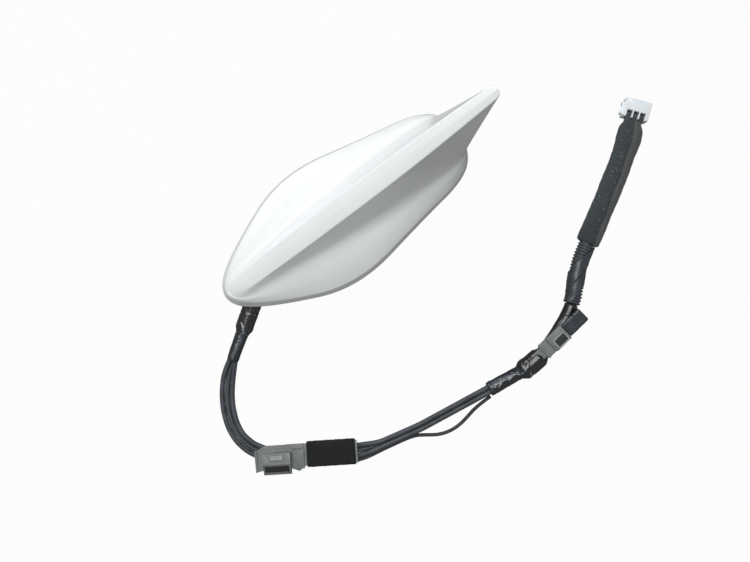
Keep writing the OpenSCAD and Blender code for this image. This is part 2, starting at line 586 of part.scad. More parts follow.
// The sleeve is flatter inside at its end, where the leads lie side by side
foam_taper = 0.2;
flat_bore = [[2.7, 1.95, 0], [2.4, 2.26, 0], [2.4, 2.26, 0]];
function foam_ring(i) = [foam_h / 2 - foam_taper * i,
    (foam_w - 1.5 * foam_taper * i) / (foam_h - 2 * foam_taper * i), 0];
module foam_sleeve() color("dimgray") sleeve(stretch(foam_start, foam_end),
    [for (i = [foam_start : foam_end]) foam_ring(max(i - foam_end + 2, 0))],
    concat(plain(foam_start, foam_end - 3), flat_bore), 12);

// The white plug: three windows take the leads, and the other end is open to its mate
end = centre[len(centre) - 1];
plug_dir = end - centre[len(centre) - 2];
window = coax_d + 0.3;
window_pitch = side + row_gap;
socket_depth = 5.2;
window_l = 3.9;
plug_in = 4;
pin_reach = 2.2;
plug_mid = route[len(route) - 1][2];
module plug_housing() color("white") heading(end, plug_dir, plug_mid) translate([-plug_in, 0, 0])
    difference() {
        slab([0, plug_l], [-1, 1] * plug_w / 2, [-1, 1] * plug_h / 2);
        for (k = [-1 : 1]) translate([0, k * window_pitch, 0]) {
            slab([-1, plug_l + 1], [-1, 1] * window / 2, [-1, 1] * window / 2);
            slab([-1, window_l], [-1, 1] * window / 2, [0, plug_h]);
        }
        slab([plug_l - socket_depth, plug_l + 1], [-1, 1] * (plug_w / 2 - plug_wall),
            [-1, 1] * (plug_h / 2 - plug_wall));
    }
contact_l = plug_l - plug_in - socket_depth;
module plug_contacts() color("gold") heading(end, plug_dir, plug_mid) for (k = [-1 : 1])
    translate([0, k * window_pitch, 0]) rotate([0, 90, 0]) {
        cylinder(r = window / 2 - 0.05, h = contact_l);
        cylinder(r = 0.8, h = contact_l + pin_reach);
    }
module plug_lock() color("white") heading(end, plug_dir, plug_mid) translate([-plug_in, plug_w / 2, 0])
    difference() {
        slab([1, plug_l - 2.5], [0, 1.3], [-2.2, 2.6]);
        slab([2.6, plug_l - 4.2], [0.6, 3], [-3, 1.6]);
    }

cover();
base_plate();
gasket();
retaining_clip();
cover_screws();
main_board();
board_screws();
shield_can();
gps_patch();
gps_feed_pin();
fin_board();
top_plate();
loading_coil();
front_radiator();
inner_plug();
inner_pins();
cable_grommet();
coax_1();
coax_2();
coax_3();
thin_wire();
tape_wrap_front();
clip_1();
tape_pad_front();
tape_wrap_middle();
clip_2();
tape_pad_rear();
corrugated_tube();
tube_tape();
foam_sleeve();
plug_housing();
plug_contacts();
plug_lock();
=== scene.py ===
# %% [markdown]
# # A car roof antenna with its wiring lead
# The object is a white fin that bolts to a car roof, and the lead that runs from it into the car.
# The solids come from the CAD frame. This lesson dresses them: it works out each visible surface
# with numpy, and gives each one a material made of nodes.

# %% Load the frame
import bpy, bmesh, math
import numpy as np
from mathutils import Matrix, Vector


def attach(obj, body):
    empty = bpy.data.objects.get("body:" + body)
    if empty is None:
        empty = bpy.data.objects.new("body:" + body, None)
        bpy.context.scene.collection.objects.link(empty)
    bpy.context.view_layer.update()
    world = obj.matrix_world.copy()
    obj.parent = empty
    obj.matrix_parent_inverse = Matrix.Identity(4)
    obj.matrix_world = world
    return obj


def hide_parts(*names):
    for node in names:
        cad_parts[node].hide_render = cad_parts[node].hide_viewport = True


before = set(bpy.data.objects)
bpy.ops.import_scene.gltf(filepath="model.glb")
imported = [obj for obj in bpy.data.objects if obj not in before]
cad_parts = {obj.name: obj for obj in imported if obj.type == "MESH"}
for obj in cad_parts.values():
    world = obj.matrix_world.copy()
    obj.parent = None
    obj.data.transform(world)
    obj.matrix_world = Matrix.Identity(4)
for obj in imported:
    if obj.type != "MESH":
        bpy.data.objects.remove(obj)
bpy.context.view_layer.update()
print("CAD nodes:", len(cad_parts))

# %% [markdown]
# ## Camera
# The photograph looks almost straight down, with the fin's tail towards the upper right corner.
# The camera's place and turn were worked out from the outline of the foot, so they are written
# as numbers: where it stands, and which way its right, its up and its back point.

# %% Place the camera
MM = 0.001
right = (0.8165, -0.5774, -0.0049)
up = (0.5773, 0.8162, 0.0226)
back = (-0.0091, -0.0213, 0.9997)
stand = (-3.57 * MM, -49.98 * MM, 489.65 * MM)
camera = bpy.data.objects.new("camera", bpy.data.cameras.new("camera"))
camera.data.sensor_width = 36
camera.data.lens = 43.2
camera.matrix_world = Matrix((*zip(right, up, back, stand), (0, 0, 0, 1)))
bpy.context.scene.collection.objects.link(camera)
bpy.context.scene.camera = camera
print("camera stands", round(stand[2] / MM), "mm above the roof plane")

# %% [markdown]
# ## Surfaces from grids
# Every new piece is a grid of points worked out by a formula. Bevelled curves and modifiers could
# make most of them too, but a formula gives each point exactly, and knows where the creases are.
# One helper turns a grid into a mesh: neighbours on the grid make four-sided faces. A ring that
# closes on itself joins its last column to its first, and the two ends can be capped. Numbers
# that belong to the points, such as how creased they are, go along as attributes for the material.
# All points are in millimetres, and the table lies at the height FLOOR.

# %% A grid becomes a mesh
FLOOR = -13.0

def linked(name, mesh):
    """A new object at the origin with this mesh."""
    piece = bpy.data.objects.new(name, mesh)
    bpy.context.scene.collection.objects.link(piece)
    return piece

def grid_piece(name, P, ring=True, caps=True, flip=False, marks=None, merge=False):
    """P[i, j] is the point at step i along and step j around."""
    rows, cols = P.shape[:2]
    index = np.arange(rows * cols).reshape(rows, cols)
    nxt = np.roll(index, -1, axis=1) if ring else index[:, 1:]
    here = index if ring else index[:, :-1]
    quads = np.stack([here[:-1], nxt[:-1], nxt[1:], here[1:]], axis=-1).reshape(-1, 4)
    faces = quads.tolist()
    if ring and caps:
        faces += [index[0, ::-1].tolist(), index[-1].tolist()]
    if flip:
        faces = [f[::-1] for f in faces]
    mesh = bpy.data.meshes.new(name)
    mesh.from_pydata((P.reshape(-1, 3) * MM).tolist(), [], faces)
    for key, values in (marks or {}).items():
        layer = mesh.attributes.new(key, "FLOAT", "POINT")
        layer.data.foreach_set("value", np.asarray(values, dtype=np.float32).ravel())
    mesh.shade_smooth()
    piece = linked(name, mesh)
    if merge:
        shape = bmesh.new()
        shape.from_mesh(mesh)
        bmesh.ops.remove_doubles(shape, verts=shape.verts, dist=1e-6)
        bmesh.ops.recalc_face_normals(shape, faces=shape.faces)
        shape.to_mesh(mesh)
        shape.free()
    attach(piece, "root")
    print(name, len(mesh.vertices), "points")
    return piece

def dress(node_name):
    """Hide this CAD node, where the new piece stands instead."""
    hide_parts(node_name)

# %% [markdown]
# ## The lead's route
# Three leads run side by side from the boss under the fin to the white plug, in one loop on the
# table. The route lists, at each station, where the bundle's middle is, how high that lies above
# the table, how far the leads have spread from a triangle (0) to a flat row (1), and the gaps
# before the first and before the third lead. The photograph shows the lead from the fin's edge to
# its plug, so this is its whole length. Real cable has no corners, so the straight legs are
# blurred into smooth bends by a moving average.

# %% Stations of the route, in millimetres
lead_d, wire_d = 2.8, 2.0
# Heights at which the wraps, the tube, the tape on the tube and the foam rest on the table.
wrap_z, tube_z, wound_z, foam_z = 3.776, 4.453, 5.15, 4.397
row_gap = 0.87
stations = np.array([
    [-9, 0, 5.3, 0, 0, 0], [-28, 0, 5.3, 0, 0, 0], [-31, 0, 5.3, 0, 0, 0],
    [-45, -2.6, 4.5, 0, 0, 0], [-56, -7.4, wrap_z, 0, 0, 0], [-62.7, -11.4, wrap_z, 0, 0, 0],
    [-73.4, -19, wrap_z, 0, 0, 0], [-76, -20.8, wrap_z, 0, 0, 0], [-82, -24.8, wrap_z, 0, 0, 0],
    [-89.1, -30, wrap_z, 0, 0, 0], [-95.9, -35.5, 2.6, 0.6, 0, 0], [-101.9, -42.3, 1.6, 1, 0, 0],
    [-106.3, -49.5, 1.6, 1, 0, 0], [-109.6, -58.1, 1.9, 0.8, 0, 0],
    [-110.6, -66.7, 2.15, 0.6, 0, 0], [-108.6, -75.5, 1.7, 0.88, 0, 0],
    [-102.9, -84, 1.7, 0.88, 0, 0], [-95, -90.2, 1.9, 1, 0, 0], [-85.3, -95.7, 1.95, 1, 0, 0],
    [-61.9, -110.1, 1.95, 1, 0, 0], [-56.5, -112.4, 2.5, 0.5, 0, 0], [-50, -114.5, 3.2, 0, 0, 0],
    [-25, -119.6, 3.2, 0, 0, 0], [17.5, -124.6, wrap_z, 0, 0, 0], [36.6, -126.6, wrap_z, 0, 0, 0],
    [39.3, -126.9, wrap_z, 0, 0, 0], [50.5, -126.2, wrap_z, 0, 0, 0], [54, -125.3, wrap_z, 0, 0, 0],
    [64, -121.9, wrap_z, 0, 0, 0], [74, -117.6, wrap_z, 0, 0, 0], [79, -114.9, tube_z, 0, 0, 0],
    [82.4, -112.4, tube_z, 0, 0, 0], [85.8, -109.9, tube_z, 0, 0, 0],
    [89, -106.4, wound_z, 0, 0, 0], [92.6, -102.2, wound_z, 0, 0, 0],
    [98.6, -96.4, wound_z, 0, 0, 0], [104, -92.8, wound_z, 0, 0, 0],
    [108.1, -90.4, wound_z, 0, 0, 0], [112.2, -88, wound_z, 0, 0, 0], [120, -83.3, foam_z, 0, 0, 0],
    [125.9, -79.8, foam_z, 0, 0, 0], [141.5, -70, foam_z, 0, 0, 0], [156.2, -60.1, foam_z, 0, 0, 0],
    [161, -56.4, foam_z, 0.5, row_gap / 2, row_gap / 2], [165.2, -52.78, 4.4, 1, row_gap, row_gap],
    [168.28, -50.24, 4.4, 1, row_gap, row_gap], [172.84, -46.48, 4.4, 1, row_gap, row_gap]])
at_pad, at_wrap_2, at_tube, at_foam, foam_end = 18, 23, 31, 37, 45
stations[:, 2] += FLOOR

def legs(P):
    """Distance along a path at each of its points."""
    return np.concatenate([[0], np.cumsum(np.linalg.norm(np.diff(P[:, :3], axis=0), axis=1))])

def blurred(P, step, reach):
    """Points every step along the path, then a bell-shaped moving average over the reach."""
    far = legs(P)
    s = np.linspace(0, far[-1], int(far[-1] / step) + 1)
    Q = np.stack([np.interp(s, far, P[:, k]) for k in range(P.shape[1])], axis=1)
    half = int(3 * reach / step)  # the bell has faded out at three times its reach
    bell = np.exp(-0.5 * (np.arange(-half, half + 1) * step / reach) ** 2)
    before = Q[0] - (Q[half:0:-1] - Q[0])
    after = Q[-1] - (Q[-2:-half - 2:-1] - Q[-1])
    padded = np.concatenate([before, Q, after])
    return s, np.stack([np.convolve(c, bell / bell.sum(), "valid") for c in padded.T], axis=1)

station_s = legs(stations)
route_s, route = blurred(stations, step=0.4, reach=2.6)
print("route", round(station_s[-1], 1), "mm")

# %% Directions along a path
def unit(v):
    return v / np.linalg.norm(v, axis=-1, keepdims=True)

def frame_of(P):
    """Along the path, level across it, and square to both."""
    t = unit(np.gradient(P, axis=0))
    a = unit(np.stack([t[:, 1], -t[:, 0], 0 * t[:, 0]], axis=1))
    return t, a, -np.cross(a, t)

def between(start, end):
    """The samples of the route from one distance to another."""
    keep = (route_s >= start) & (route_s <= end)
    return route_s[keep], route[keep, :3]

def pipe(P, radius_a, radius_b, sides):
    """An ellipse carried along a path: its radii across and upwards, as one number, one for
    each step along the path, or one for each point."""
    _, a, b = frame_of(P)
    w = np.linspace(0, 2 * np.pi, sides, endpoint=False)
    ra, rb = (r if np.ndim(r) == 2 else np.reshape(np.broadcast_to(r, len(P)), (-1, 1))
              for r in (radius_a, radius_b))
    return (P[:, None] + (ra * np.cos(w))[..., None] * a[:, None]
            + (rb * np.sin(w))[..., None] * b[:, None])

def on_table(grid):
    """Nothing may dip into the table: what would is laid flat on it."""
    grid[..., 2] = np.maximum(grid[..., 2], FLOOR + 0.02)
    return grid

# %% [markdown]
# ## The three leads and the thin wire
# Each lead is a coaxial cable 2.8 mm across with a smooth dark jacket. Three curves with a bevel
# would do, but they would have to be kept apart by hand. Here the three share the route: in a
# triangle the middle one is the lowest, and in a flat row they lie side by side.
# A fourth, thinner wire leaves the tape pad, bows outwards on the table and joins the next wrap.

# %% Make the leads
lead_gap = 0.03
lead_side = lead_d + lead_gap
spread = np.clip(route[:, 3], 0, 1)
fall = lead_side * math.sqrt(3) / 2 * (1 - spread)
apart = np.sqrt(lead_side ** 2 - fall ** 2)
_, across, _ = frame_of(route[:, :3])

def lead_line(hand):
    """The bundle's middle, moved across by the spread and down or up by the fall."""
    gap = np.maximum(route[:, 4 if hand < 0 else 5], 0)
    lift = np.zeros((len(route), 3))
    lift[:, 2] = -fall * 2 / 3 if hand == 0 else fall / 3
    return route[:, :3] + (hand * (apart + gap))[:, None] * across + lift

lead_lines = [lead_line(hand) for hand in (-1, 0, 1)]
leads = [grid_piece(f"lead_{k + 1}", pipe(line[::2], lead_d / 2, lead_d / 2, sides=20))
         for k, line in enumerate(lead_lines)]
wire_stations = np.array([
    [-65.18, -114.54, 1.5], [-58.8, -116.85, 1.3], [-51.8, -117.7, 1.2], [-37.1, -120.4, 1.2],
    [-30, -122, 1.2], [-25.4, -125.2, 1.2], [-20, -129.2, 1.2], [-13.3, -131.5, 1.2],
    [-6.6, -131.7, 1.2], [-1, -130.6, 1.2], [4, -129.2, 1.2], [10, -128.6, 1.8],
    [16.8, -128.4, 2.6]])
wire_stations[:, 2] += FLOOR
_, wire_line = blurred(wire_stations, step=0.5, reach=3.0)
wire = grid_piece("bowed_wire", pipe(wire_line[::2], wire_d / 2, wire_d / 2, sides=16))
for k, piece in enumerate(leads):
    dress(f"coax_{k + 1}")
dress("thin_wire")

# %% [markdown]
# ## The fin cover
# The cover is one glossy white moulding: a dome that rises from an oval foot, and a fin with a flat
# crest, whose flanks are hollow. A subdivided cage could give it, but its creases would wander.
# Here fourteen rails run from nose to tail, from the rim (first) to the crest's middle (last).
# Each is a control polygon, laid out like the solid's and then fitted closer to the photograph.
# Rounding the rails along, and then across, on a fine grid gives a surface with no facets. Where
# two rails lie close together, the surface has a crisp edge: at the skirt and along the crest.

# %% Stations of the cover
# Eight stations from nose to tail; each is (forward, half width, height).
cover_front, cover_rear, nose_h, tip_h, tip_out = 70.4, 85.0, 8.0, 63.5, 16.0
rim_gap, cover_wall, skirt_top = 0.8, 1.8, 6.2
tip_x = cover_rear + tip_out
crest_drop = 0.4  # the crest's edges lie this much below the line from the nose to the tip
rim = np.array([[-70.4, 0, 0], [-70.4, 7.2, 0], [-49.2, 20.6, 0], [-8.4, 37.9, 0],
                [41.6, 27.6, 0], [73.9, 22.2, 0], [85, 9.6, 0], [85, 0, 0]])
root = np.array([[-65.4, 0, 8.0], [-65.4, 5.4, 8.0], [-46.3, 10.2, 10.4], [-6.4, 14.6, 13.0],
                 [43.6, 15.0, 13.4], [75.6, 13.8, 13.6], [80.0, 10.8, 13.6], [80.0, 0, 13.6]])
edge_x = np.array([-60.5, -60.5, -45.0, -3.4, 48.6, tip_x - 6, tip_x, tip_x])
edge = np.stack([edge_x, np.array([0, 4.2, 5.15, 5.7, 5.6, 3.7, 3.2, 0]),
                 nose_h + (tip_h - nose_h) * (edge_x + cover_front) / (tip_x + cover_front)
                 - crest_drop], axis=1)
# How far the skirt leans in at each station, and how much of the dome's swelling it gets.
skirt_in = np.array([2.0, 2.0, 2.1, 1.9, 1.3, 1.1, 1.0, 1.0])
swell = np.array([0.35, 0.35, 0.9, 1, 1, 0.9, 0.5, 0.5])

# %% Kinds of rail
def rim_rail(z, inset):
    """The foot's outline at a height, drawn in by the inset of each station."""
    ends = np.array([1, 1, 0, 0, 0, 0, -1, -1]) * inset
    return np.stack([rim[:, 0] + ends, np.maximum(rim[:, 1] - inset, 0), np.full(8, z)], axis=1)

def flank_rail(s, s_x, s_y):
    """Between root and crest edge, with its own share of each direction."""
    tail = np.arange(8) > 4
    shares = np.stack([np.where(tail, s_x, s), np.where(tail, s, s_y), np.full(8, s)], axis=1)
    return root + (edge - root) * shares

def moved(rail, dy, dz):
    """The same rail further out and higher, but still on the middle plane where it was."""
    out = rail.copy()
    out[:, 1] = np.maximum(rail[:, 1] + np.where(rail[:, 1] > 0, dy, 0), 0)
    out[:, 2] += dz
    return out

def dome_rail(s, bulge):
    """Between the top of the skirt and the root, lifted a little."""
    start = rim_rail(skirt_top, skirt_in)
    return start + (root - start) * s + np.array([0, 0, bulge]) * swell[:, None]

# %% The net of rails
net = np.array([rim_rail(rim_gap, 0 * skirt_in), rim_rail(skirt_top * 0.5, 0.45 * skirt_in),
                rim_rail(skirt_top - 0.5, 0.92 * skirt_in), dome_rail(0, 0), dome_rail(0.035, 0.2),
                dome_rail(0.15, 0.8), dome_rail(0.5, 1.5), root, flank_rail(0.22, 0.19, 0.46),
                flank_rail(0.62, 0.61, 0.78), moved(edge, 0.1, -1.0), edge,
                moved(edge, -1.3, 0.2), edge * [1, 0, 1] + [0, 0, 0.5]])
# At the nose the upper rails spread out evenly, so that the crest's edges fade into a round end.
nose = np.array([[-66.6, 6.6, 7.3], [-65.6, 6.0, 8.0], [-63.8, 5.4, 9.0], [-61.8, 5.0, 10.0],
                 [-60.0, 4.4, 10.9], [-57.4, 2.4, 12.0], [-54.8, 0, 13.0]])
net[7:, 0], net[7:, 1] = nose * [1, 0, 1], nose
print("net of", net.shape[0], "rails with", net.shape[1], "stations")

# %% Round the rails along and across
def rounded(P, steps):
    """Each corner of the polygon becomes a parabola between the middles of its two legs."""
    mids = (P[1:] + P[:-1]) / 2
    a = np.concatenate([P[:1], mids[1:-1]])
    c = np.concatenate([mids[1:-1], P[-1:]])
    s = (np.arange(steps) / steps).reshape((1, steps) + (1,) * (P.ndim - 1))
    arcs = (1 - s) ** 2 * a[:, None] + 2 * s * (1 - s) * P[1:-1, None] + s * s * c[:, None]
    return np.concatenate([arcs.reshape((-1,) + P.shape[1:]), P[-1:]])

def skin(net, along=22, rise=8):
    """Rows from the foot to the crest; each row runs from the nose to the tail."""
    rails = rounded(np.swapaxes(net, 0, 1), along)
    return rounded(np.swapaxes(rails, 0, 1), rise)

def drawn_in(net, w):
    """The inner net: the outer one moved inwards by the wall w. The dome's rails move less
    sideways and the flanks' less down, so that the wall stays about even."""
    out = net.copy()
    rows, cols = net.shape[:2]
    k, i = np.meshgrid(np.arange(rows), np.arange(cols), indexing="ij")  # rail and station
    out[..., 0] += np.where(i < 2, w, np.where(i > 5, -w, 0))
    y = np.maximum(net[..., 1] - w * np.where((k < 4) | (k > 7), 1, 0.7), 0.3 + 0.05 * (rows - k))
    out[..., 1] = np.where((i == 0) | (i == cols - 1) | (k == rows - 1), 0, y)
    out[..., 2] -= np.where(k < 2, 0, w * np.where(k < 8, 1, np.where(k < 10, 0.6, 1.15)))
    return out

def both_sides(rows):
    """The near half, then the far half back again, so that a row is a closed ring."""
    near = rows * [1, -1, 1]
    return np.concatenate([near, rows[:, -2:0:-1]], axis=1)

# %% Make the cover
# One grid holds the whole shell: down the outside from the crest, round the rim, and up inside.
outside = both_sides(skin(net))
inside = both_sides(skin(drawn_in(net, cover_wall), rise=3))
cover = grid_piece("fin_cover", np.concatenate([outside[::-1], inside]), caps=False, merge=True)
dress("cover")

# %% [markdown]
# ## Sealing beads
# The rubber pad under the foot seals against the roof with two thin raised beads that run round
# near its edge, out of the camera's sight. A torus stretched to the outline would change its
# thickness, so each bead is a round section, half sunk in the pad and carried along a closed line:
# the foot's own outline, drawn in by the bead's distance from it.

# %% Make the beads
bead_r = 0.55

def bead(name, inset):
    """A ring round the foot, so far in from its outline."""
    near = rounded(rim_rail(0.0, np.full(8, inset)), 24)
    line = np.concatenate([near * [1, -1, 1], near[-2:0:-1]])
    line = np.concatenate([line, line[:1]])
    t = unit(np.roll(line[:-1], -1, axis=0) - np.roll(line[:-1], 1, axis=0))
    t = np.concatenate([t, t[:1]])
    side = np.stack([t[:, 1], -t[:, 0], 0 * t[:, 0]], axis=1)
    turn = np.linspace(0, 2 * np.pi, 12, endpoint=False)
    P = line[:, None] + bead_r * (np.cos(turn)[:, None] * side[:, None]
                                  + np.sin(turn)[:, None] * [0, 0, 1])
    piece = grid_piece(name, P, caps=False, merge=True)
    return piece

beads = [bead("outer_bead", 5.2), bead("inner_bead", 7.6)]

# %% [markdown]
# ## Wrapped tape
# Vinyl tape is wound round the bundle at a slant, and each turn laps over the last. Stretched by
# hand, it wrinkles along the turns and tears. A cloth simulation could wind it, but it
# would be slow and hard to steer. The wrap is an ellipse carried along the route. Its radius steps
# down a little at each lap, and sums of slanted waves with sharp crests add the wrinkles. The
# wrinkles' crests, a stripe along the top and the torn edge are painted paler, as highlights.

# %% Wrinkles and laps
rng = np.random.default_rng(7)

def wrinkles(u, v, sharp, count=9, low=0.5, high=2.4, slant=0.5):
    """Slanted waves over u (mm along) and v (mm around), with crests sharper than hollows."""
    total = np.zeros(np.broadcast(u, v).shape)
    for _ in range(count):
        k, tilt, phase = rng.uniform(low, high), rng.normal(slant, 0.5), rng.uniform(0, 6.28)
        wave = np.sin(k * (u + tilt * v) + phase + 0.8 * np.sin(0.31 * k * u - 0.6 * v + phase))
        total += (1 - np.abs(wave)) ** sharp / k
    return total / count

def laps(s, w, pitch):
    """0 to 1 across each turn of tape, on a helix of that pitch."""
    return (s / pitch - w / (2 * np.pi)) % 1

def ragged(s, corners):
    """The angle of a torn tape edge along the wrap: straight legs between its corners."""
    corner_s, corner_w = np.array(corners, dtype=float).T
    return np.interp(s, corner_s, corner_w)

# %% One wrap
# Depths in millimetres: the faintest fold, the step at a lap, the torn edge's step and its curled
# lip, and how far the wrap closes on the leads at its ends.
faint, lap_h, flap_h, torn_h, end_h = 0.006, 0.1, 0.15, 0.12, 0.35

def wrap_piece(name, shapes, pitch, creased, edge, sheen_band, node_name, sides=96):
    """shapes lists (distance, half height, width ratio, lift); between them they are blended.
    creased lists (distance, reach, depth) of the crumpled places. edge is the torn edge.
    The last argument is (middle, reach, angle, half angle) of a stripe painted paler, a painted
    sheen."""
    s, P = between(shapes[0][0], shapes[-1][0])
    shape_s, *cols = np.array(shapes, dtype=float).T
    half_h, ratio, lift = (np.interp(s, shape_s, c) for c in cols)
    w = np.linspace(0, 2 * np.pi, sides, endpoint=False)
    lap = laps(s[:, None], w, pitch)
    fold = wrinkles(s[:, None], half_h[:, None] * w, 3)
    fold = (fold - fold.mean()) / fold.std()
    deep = faint + sum(depth * np.exp(-((s - at) / reach) ** 2) for at, reach, depth in creased)
    away = (w - ragged(s, edge)[:, None]) * half_h[:, None]
    flap = 1 / (1 + np.exp(-away / 0.12))
    torn = np.exp(-(away / 0.2) ** 2) * ((s > edge[0][0]) & (s < edge[-1][0]))[:, None]
    drop = end_h * np.exp(-(np.minimum(s - s[0], s[-1] - s) / 0.5) ** 2)[:, None]
    r = (half_h[:, None] + lap_h * (0.5 - lap) + deep[:, None] * fold + flap_h * flap
         + torn_h * torn - drop)
    grid = pipe(P, r * ratio[:, None], r, sides)
    grid[..., 2] = np.maximum(grid[..., 2] + lift[:, None], FLOOR + 0.05)
    middle, reach, angle, half_angle = sheen_band
    # The stripe of painted sheen: paler colour where a highlight would lie along the wrap.
    pale = (np.exp(-((s[:, None] - middle) / reach) ** 4)
            * np.exp(-((w - angle - 0.03 * (s[:, None] - middle)) / half_angle) ** 2))
    # The marks carry painted highlights to the material: paler wrinkle crests, the sheen stripe,
    # and a glint along the torn edge.
    piece = grid_piece(name, grid, marks={"crease_highlight": fold * deep[:, None] / 0.06, "torn": torn,
                                          "pale": pale * (0.75 + 0.25 * np.tanh(fold))})
    dress(node_name)
    return piece

# %% Make the two wraps
# Angles: 0 is the right side of the path, and three quarters of a turn is its top.
# Places along the route are given by the stations' distances.
far = station_s
TOP = 1.5 * np.pi
thick_h, thick_lift = 4.95, 1.025
# The last tuple of each wrap places its stripe of painted sheen.
wrap_front = wrap_piece(
    "tape_at_boss",
    [(far[1], 3.7, 1, 0), (far[4], 3.7, 1.15, 0), (far[5], 3.75, 1.3, 0), (far[6], 3.75, 1.3, 0),
     (far[7], 3.6, 0.98, 0), (far[9], 3.55, 0.9, 0)], 9.0,
    [(far[5] + 1, 5, 0.06), (far[7] + 1, 3, 0.07)],
    [(far[6] - 3, TOP + 0.5), (far[7] - 1, TOP - 0.3), (far[7] + 1.5, TOP + 0.2)],
    (far[8] + 0.5, 7.5, TOP - 0.1, 0.3), "tape_wrap_front")
start, thick = far[at_wrap_2], far[at_wrap_2 + 2]
wrap_middle = wrap_piece(
    "tape_at_holder",
    [(start, 3.6, 1.12, 0), (far[24], 3.65, 1, 0), (thick, thick_h, 1.12, thick_lift),
     (far[26], thick_h, 1.12, thick_lift), (far[27], 3.7, 1, 0), (far[at_tube], 3.7, 1, 0)], 7.5,
    [(far[24], 3, 0.04), (thick + 3, 3, 0.08), (start + 3, 2, 0.04)],
    [(start + 1, TOP + 0.5), (start + 2.2, TOP - 0.2), (start + 5, TOP + 0.3),
     (start + 8, TOP - 0.05), (start + 10.5, TOP - 0.4), (start + 12, TOP + 0.15),
     (far[24] - 3, TOP - 0.25), (far[24], TOP + 0.25), (thick + 1.5, TOP - 0.1)],
    (start + 9, 8, TOP - 0.55, 0.3), "tape_wrap_middle")

# %% [markdown]
# ## Corrugated tube and its tape
# Split tubing protects the leads where they rub. Its wall is a row of round ribs, 1.7 mm apart,
# so that it bends. An Array of one rib along a curve would do too; here the radius is simply a row
# of smooth bumps along the route. Tape is wound round it in a slanting band, and bridges the ribs.

# %% Make the tube
tube_d, rib_pitch, rib_depth, tube_sides = 9.2, 1.7, 1.0, 56
s, P = between(far[at_tube], far[at_foam] + 0.5)
rib = np.abs(np.sin(np.pi * (s - s[0]) / rib_pitch)) ** 1.1
tube_r = tube_d / 2 - rib_depth * (1 - rib)
# The rib mark also goes to the material, which paints the grooves dark as shade.
tube = grid_piece("ribbed_tube", on_table(pipe(P, tube_r, tube_r, tube_sides)),
                  marks={"rib": np.repeat(rib[:, None], tube_sides, axis=1)})
dress("corrugated_tube")

# %% Tape over the tube
# Two turns of tape cover the middle of the tube. Their edges are slanting cuts: the distance
# along the tube at an edge goes up and down with the cosine of the angle round it.
w = np.linspace(0, 2 * np.pi, 96, endpoint=False)
lean = 8.6 * np.cos(w) + 0.8 * np.sin(2 * w)
low_edge, lap_edge, high_edge = far[at_tube] + 3.4, far[at_tube] + 14.5, far[at_foam] - 8.0
share = np.linspace(0, 1, 90)[:, None]
along_s = np.clip(low_edge + (high_edge - low_edge) * share + lean, s[0] + 0.4 * share, s[-1])
over = 1 / (1 + np.exp(-(along_s - lap_edge - lean) / 0.15))
tape_h, turn_h, end_dip, end_share = 0.2, 0.3, 0.5, 0.012
skin_r = tube_d / 2 + tape_h + turn_h * over
skin_r += 0.015 * np.sin(2 * np.pi * (along_s - s[0]) / rib_pitch)  # the ribs show through
skin_r += 0.05 * np.sin(0.9 * along_s + 3 * w)
for edge_share in (share, 1 - share):
    skin_r -= end_dip * np.exp(-(edge_share / end_share) ** 2)
_, side_way, down = frame_of(P)
mid, side_at, down_at = (np.stack([np.interp(along_s, s, v[:, k]) for k in range(3)], axis=-1)
                         for v in (P, side_way, down))
band_grid = mid + skin_r[..., None] * (np.cos(w)[:, None] * side_at + np.sin(w)[:, None] * down_at)
lap_line = np.exp(-((along_s - lap_edge - lean) / 0.45) ** 2)
tube_wrap = grid_piece("tape_on_tube", on_table(band_grid), caps=False, marks={"lap": lap_line})
dress("tube_tape")

# %% [markdown]
# ## Foam sleeve
# A sleeve of soft felted foam goes round the leads behind the plug, so that they don't rattle.
# It is a flattened tube, closed by a paler seam strip along one side, with rounded ends. A
# subdivided box would look as soft, but the strip's lip needs points where the strip begins.

# %% Make the sleeve
foam_w, foam_h, foam_sides = 12.8, 9.0, 112
end_a, end_b = 3.8, 3.0  # half the width and height where the sleeve closes on the leads
s, P = between(far[at_foam], far[foam_end] + 1.2)
w = np.linspace(0, 2 * np.pi, foam_sides, endpoint=False)
from_end = s[-1] - s
taper = 1.5 * np.exp(-(from_end / 3.5) ** 2) - 0.5 * np.exp(-((from_end - 10) / 6) ** 2)
fade = np.clip(np.minimum((s - s[0]) / 1.6, from_end / 3.6), 0, 1)
bulge = np.sqrt(1 - (1 - fade) ** 2)[:, None]
lumps = (0.10 * np.sin(0.21 * s + 1)[:, None] * np.cos(2 * w)
         + 0.08 * np.sin(0.37 * s[:, None] + 3 * w) + 0.05 * np.sin(1.1 * s[:, None] - 2 * w))
# The strip covers the angles from its slowly turning left edge, past zero, to 0.5.
seam_at = (2 * np.pi - 1.05 - 0.4 * (s - s[0]) / (s[-1] - s[0]) + 0.03 * np.sin(0.3 * s))[:, None]
seam = 1 / (1 + np.exp(-(w - seam_at) / 0.02)) + 1 / (1 + np.exp((w - 0.5) / 0.05))
lip = 0.16 * seam - 0.12 * np.exp(-((w - seam_at) / 0.03) ** 2)
rb = end_b + (foam_h / 2 - end_b - 0.4 * taper[:, None]) * bulge + (lumps + lip) * bulge
ra = end_a + (foam_w / 2 - end_a - taper[:, None]) * bulge + (lumps + lip) * bulge
foam = grid_piece("foam_tube", on_table(pipe(P, ra, rb, foam_sides)), marks={"seam": seam})
dress("foam_sleeve")

# %% [markdown]
# ## The two tape pads
# Cloth tape is wound many times over a holder's strip and the leads, and makes a block with
# round corners. A bevelled box would be too even. Here a rectangle with round corners is carried
# along a straight line; near each end it is drawn in along a quarter circle, and a few shallow
# waves keep the block from looking machined.

